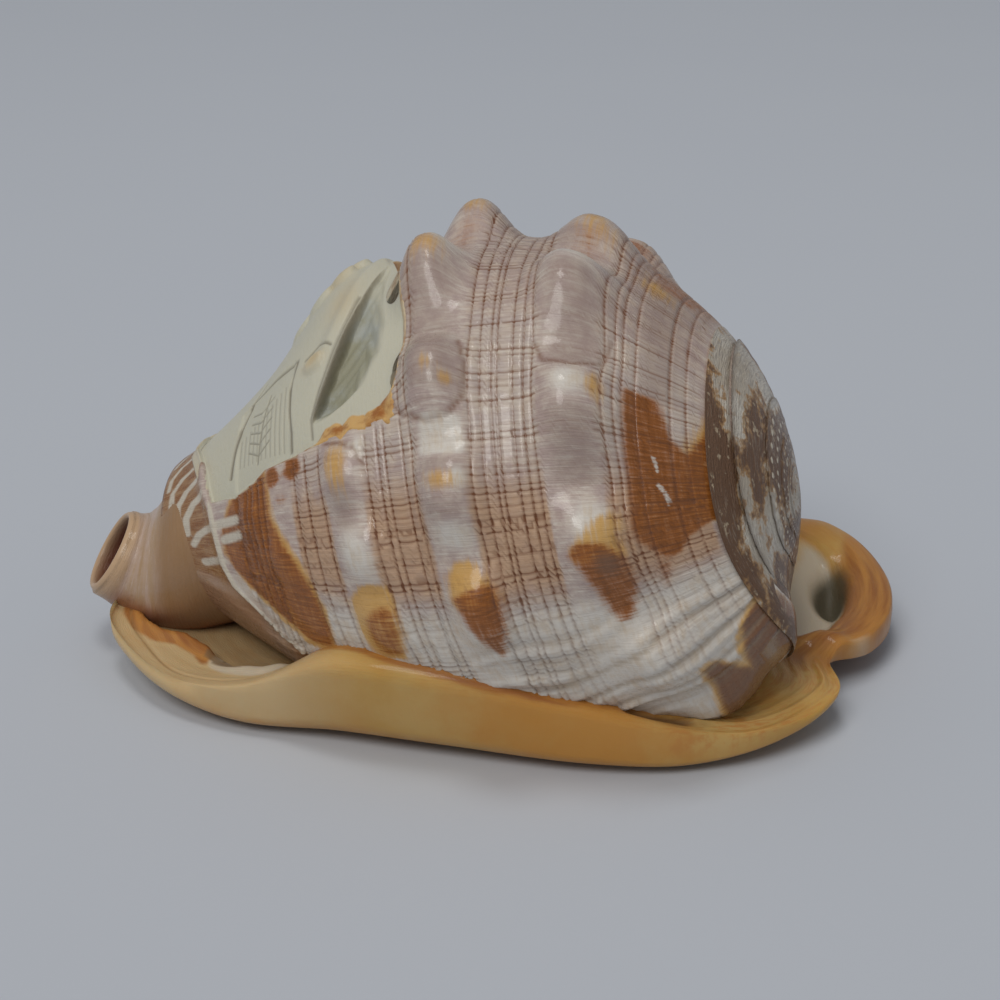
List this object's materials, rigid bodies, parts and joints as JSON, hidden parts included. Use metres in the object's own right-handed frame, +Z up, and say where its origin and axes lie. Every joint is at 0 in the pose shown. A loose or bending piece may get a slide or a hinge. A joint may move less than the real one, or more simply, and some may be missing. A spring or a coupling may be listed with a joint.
{
  "type": "carved helmet shell",
  "caption": "Thick coiled helmet sea shell lying on its aperture, with rows of blunt knobs, an upturned canal, a broad callus sole and a cameo panel carved into its crown.",
  "frame": {"origin": "middle of the footprint, on the surface that the sole rests on", "axes": "+X from the siphonal canal to the spire, along the shell's length; +Y towards the outer lip; +Z up, through the crown that carries the carving"},
  "size_m": [0.1696, 0.1236, 0.0969],
  "materials": {
    "shell": "glossy shell, mauve and cream with orange-brown patches"
  },
  "bodies": {
    "root": {"shell": "shell"}
  },
  "joints": []
}
